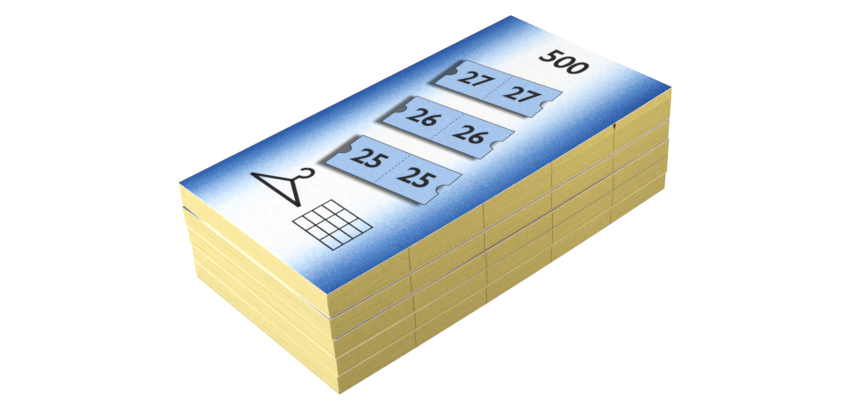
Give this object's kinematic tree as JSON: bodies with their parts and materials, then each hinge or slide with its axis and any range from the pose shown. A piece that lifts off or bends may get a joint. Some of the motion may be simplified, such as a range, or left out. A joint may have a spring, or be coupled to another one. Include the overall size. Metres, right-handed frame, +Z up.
{
  "type": "pile of cloakroom ticket books",
  "caption": "Pile of glue-bound cloakroom ticket books: yellow sheets slit into rows and perforated into tickets and counterfoils, each with a blue gradient card cover.",
  "frame": {"origin": "centre of the pile's outline, on the surface that it lies on", "axes": "+X from the glued spine to the free edge of the tickets, +Y from the foot of the cover to its head, +Z up through the pile"},
  "size_m": [0.1078, 0.2008, 0.0561],
  "materials": {
    "ticket_paper": "uncoated coloured bond",
    "cover_card": "printed matt card",
    "back_board": "plain white board",
    "spine_glue": "dried padding glue"
  },
  "bodies": {
    "book_1": {"book_1_back_board": "back_board", "book_1_spine_glue": "spine_glue", "book_1_stub_block": "ticket_paper", "book_1_front_cover": "cover_card", "book_1_ticket_pad_1": "ticket_paper", "book_1_ticket_pad_2": "ticket_paper", "book_1_ticket_pad_3": "ticket_paper", "book_1_ticket_pad_4": "ticket_paper", "book_1_ticket_pad_5": "ticket_paper"},
    "book_2": {"book_2_back_board": "back_board", "book_2_spine_glue": "spine_glue", "book_2_stub_block": "ticket_paper", "book_2_front_cover": "cover_card", "book_2_ticket_pad_1": "ticket_paper", "book_2_ticket_pad_2": "ticket_paper", "book_2_ticket_pad_3": "ticket_paper", "book_2_ticket_pad_4": "ticket_paper", "book_2_ticket_pad_5": "ticket_paper"},
    "book_3": {"book_3_back_board": "back_board", "book_3_spine_glue": "spine_glue", "book_3_stub_block": "ticket_paper", "book_3_front_cover": "cover_card", "book_3_ticket_pad_1": "ticket_paper", "book_3_ticket_pad_2": "ticket_paper", "book_3_ticket_pad_3": "ticket_paper", "book_3_ticket_pad_4": "ticket_paper", "book_3_ticket_pad_5": "ticket_paper"},
    "book_4": {"book_4_back_board": "back_board", "book_4_spine_glue": "spine_glue", "book_4_stub_block": "ticket_paper", "book_4_front_cover": "cover_card", "book_4_ticket_pad_1": "ticket_paper", "book_4_ticket_pad_2": "ticket_paper", "book_4_ticket_pad_3": "ticket_paper", "book_4_ticket_pad_4": "ticket_paper", "book_4_ticket_pad_5": "ticket_paper"},
    "book_5": {"book_5_back_board": "back_board", "book_5_spine_glue": "spine_glue", "book_5_stub_block": "ticket_paper", "book_5_counterfoil_pad_1": "ticket_paper", "book_5_ticket_pad_1": "ticket_paper", "book_5_counterfoil_pad_2": "ticket_paper", "book_5_ticket_pad_2": "ticket_paper", "book_5_counterfoil_pad_3": "ticket_paper", "book_5_ticket_pad_3": "ticket_paper", "book_5_counterfoil_pad_4": "ticket_paper", "book_5_ticket_pad_4": "ticket_paper", "book_5_counterfoil_pad_5": "ticket_paper", "book_5_ticket_pad_5": "ticket_paper"},
    "top_cover": {"book_5_front_cover": "cover_card"},
    "top_counterfoil_1": {"book_5_top_counterfoil_1": "ticket_paper"},
    "top_ticket_1": {"book_5_top_ticket_1": "ticket_paper"},
    "top_counterfoil_2": {"book_5_top_counterfoil_2": "ticket_paper"},
    "top_ticket_2": {"book_5_top_ticket_2": "ticket_paper"},
    "top_counterfoil_3": {"book_5_top_counterfoil_3": "ticket_paper"},
    "top_ticket_3": {"book_5_top_ticket_3": "ticket_paper"},
    "top_counterfoil_4": {"book_5_top_counterfoil_4": "ticket_paper"},
    "top_ticket_4": {"book_5_top_ticket_4": "ticket_paper"},
    "top_counterfoil_5": {"book_5_top_counterfoil_5": "ticket_paper"},
    "top_ticket_5": {"book_5_top_ticket_5": "ticket_paper"}
  },
  "joints": [
    {"name": "book_2_lift", "type": "slide", "parent": "book_1", "child": "book_2", "axis": [0, 0, 1], "range_m": [0, 0.06]},
    {"name": "book_3_lift", "type": "slide", "parent": "book_2", "child": "book_3", "axis": [0, 0, 1], "range_m": [0, 0.06]},
    {"name": "book_4_lift", "type": "slide", "parent": "book_3", "child": "book_4", "axis": [0, 0, 1], "range_m": [0, 0.06]},
    {"name": "book_5_lift", "type": "slide", "parent": "book_4", "child": "book_5", "axis": [0, 0, 1], "range_m": [0, 0.06]},
    {"name": "top_cover_open", "type": "hinge", "parent": "book_5", "child": "top_cover", "pos_m": [-0.05368, 0, 0.05349], "axis": [0, -0.9997, -0.024], "range_deg": [0, 180]},
    {"name": "top_counterfoil_1_tear", "type": "slide", "parent": "book_5", "child": "top_counterfoil_1", "axis": [1, 0, 0], "range_m": [0, 0.1]},
    {"name": "top_ticket_1_tear", "type": "slide", "parent": "top_counterfoil_1", "child": "top_ticket_1", "axis": [1, 0, 0], "range_m": [0, 0.05]},
    {"name": "top_counterfoil_2_tear", "type": "slide", "parent": "book_5", "child": "top_counterfoil_2", "axis": [1, 0, 0], "range_m": [0, 0.1]},
    {"name": "top_ticket_2_tear", "type": "slide", "parent": "top_counterfoil_2", "child": "top_ticket_2", "axis": [1, 0, 0], "range_m": [0, 0.05]},
    {"name": "top_counterfoil_3_tear", "type": "slide", "parent": "book_5", "child": "top_counterfoil_3", "axis": [1, 0, 0], "range_m": [0, 0.1]},
    {"name": "top_ticket_3_tear", "type": "slide", "parent": "top_counterfoil_3", "child": "top_ticket_3", "axis": [1, 0, 0], "range_m": [0, 0.05]},
    {"name": "top_counterfoil_4_tear", "type": "slide", "parent": "book_5", "child": "top_counterfoil_4", "axis": [1, 0, 0], "range_m": [0, 0.1]},
    {"name": "top_ticket_4_tear", "type": "slide", "parent": "top_counterfoil_4", "child": "top_ticket_4", "axis": [1, 0, 0], "range_m": [0, 0.05]},
    {"name": "top_counterfoil_5_tear", "type": "slide", "parent": "book_5", "child": "top_counterfoil_5", "axis": [1, 0, 0], "range_m": [0, 0.1]},
    {"name": "top_ticket_5_tear", "type": "slide", "parent": "top_counterfoil_5", "child": "top_ticket_5", "axis": [1, 0, 0], "range_m": [0, 0.05]}
  ]
}
